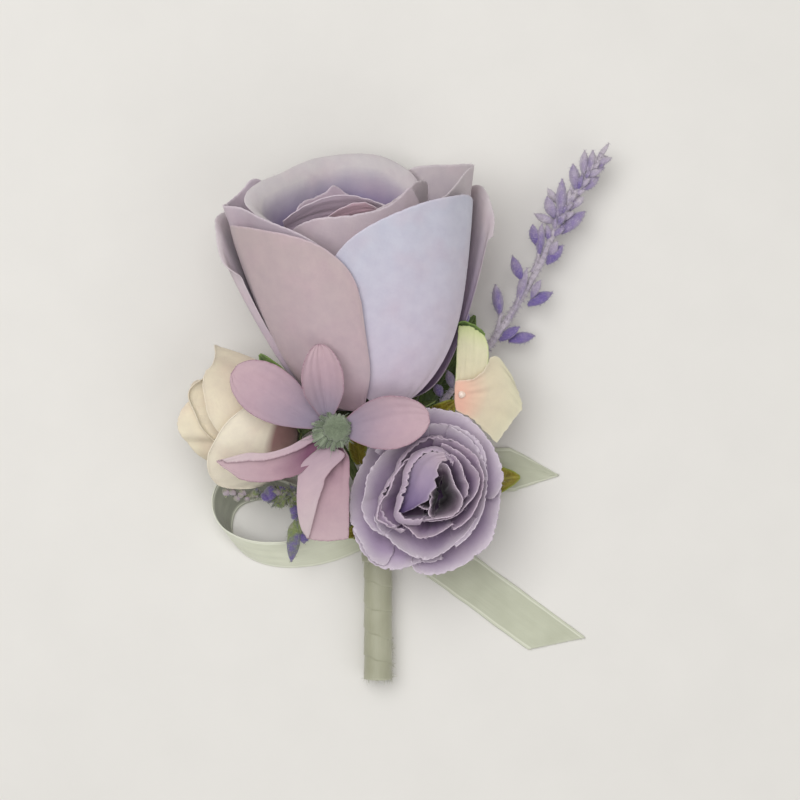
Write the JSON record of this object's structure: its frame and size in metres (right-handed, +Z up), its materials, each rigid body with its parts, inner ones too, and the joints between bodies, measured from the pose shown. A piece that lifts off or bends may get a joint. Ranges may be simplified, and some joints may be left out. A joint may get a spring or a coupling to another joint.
{
  "type": "corsage",
  "caption": "Wired corsage of fabric flowers: lavender rose, purple ranunculus, cream bud, star flower, lavender sprig, satin ribbon loop and tails, ribbon-wrapped stem.",
  "frame": {"origin": "on the surface that the corsage lies on, under the middle of its bounding box", "axes": "+Z up from the surface, +Y from the wrapped stem towards the rose and the lavender's tip, +X to the right of someone who stands at the stem's end and looks along it"},
  "size_m": [0.0956, 0.1218, 0.047],
  "materials": {
    "lilac_cloth": "matt woven cloth, lilac grey shading to pink",
    "purple_cloth": "matt woven cloth, dusty purple, paler at its frayed edges",
    "cream_cloth": "matt woven cloth, ivory shading to pink",
    "pink_lilac_cloth": "matt woven cloth, pink-lilac, greyer at the centre",
    "stamen_green": "grey-green fringed plastic",
    "peach_cloth": "matt woven cloth, cream-yellow shading to peach pink",
    "olive_leaf": "olive-yellow leaf, satin",
    "green_leaf": "dark green leaf, satin",
    "sage_satin": "pale sage satin ribbon",
    "flocked_lavender": "flocked plastic, mauve with purple buds",
    "green_wire": "green plastic-covered stem wire",
    "calyx_green": "green moulded plastic",
    "floral_tape": "crepe floral tape, dark green"
  },
  "bodies": {
    "root": {"cream_back": "cream_cloth", "cream_calyx": "calyx_green", "cream_front": "cream_cloth", "cream_heart": "cream_cloth", "cream_tip_lower": "cream_cloth", "cream_tip_upper": "cream_cloth", "cream_upper": "cream_cloth", "filler_sprig": "flocked_lavender", "lavender_sprig": "flocked_lavender", "leaf_green_left": "green_leaf", "leaf_green_right": "green_leaf", "leaf_olive_low": "olive_leaf", "leaf_olive_middle": "olive_leaf", "leaf_olive_right": "olive_leaf", "leaf_olive_top": "olive_leaf", "peach_back": "peach_cloth", "peach_broad": "peach_cloth", "peach_calyx": "calyx_green", "peach_upright": "peach_cloth", "ranunculus_calyx": "calyx_green", "ranunculus_heart": "purple_cloth", "ranunculus_layer_1": "purple_cloth", "ranunculus_layer_2": "purple_cloth", "ranunculus_layer_3": "purple_cloth", "ranunculus_layer_4": "purple_cloth", "ranunculus_layer_5": "purple_cloth", "ribbon_knot": "sage_satin", "ribbon_loop": "sage_satin", "ribbon_tail_long": "sage_satin", "ribbon_tail_pointed": "sage_satin", "rose_back": "lilac_cloth", "rose_back_right": "lilac_cloth", "rose_calyx": "calyx_green", "rose_front_left": "lilac_cloth", "rose_front_right": "lilac_cloth", "rose_heart": "lilac_cloth", "rose_inner_back": "lilac_cloth", "rose_inner_front": "lilac_cloth", "rose_inner_left": "lilac_cloth", "rose_inner_right": "lilac_cloth", "rose_left_outer": "lilac_cloth", "rose_middle_left": "lilac_cloth", "rose_right_outer": "lilac_cloth", "rose_under_left": "lilac_cloth", "rose_under_right": "lilac_cloth", "star_petal_bottom": "pink_lilac_cloth", "star_petal_lower_left": "pink_lilac_cloth", "star_petal_right": "pink_lilac_cloth", "star_petal_top": "pink_lilac_cloth", "star_petal_upper_left": "pink_lilac_cloth", "star_stamens": "stamen_green", "stem_tape": "floral_tape", "stem_wrap": "sage_satin", "wire_cream": "green_wire", "wire_peach": "green_wire", "wire_ranunculus": "green_wire", "wire_rose": "green_wire", "wire_star": "green_wire"}
  },
  "joints": []
}
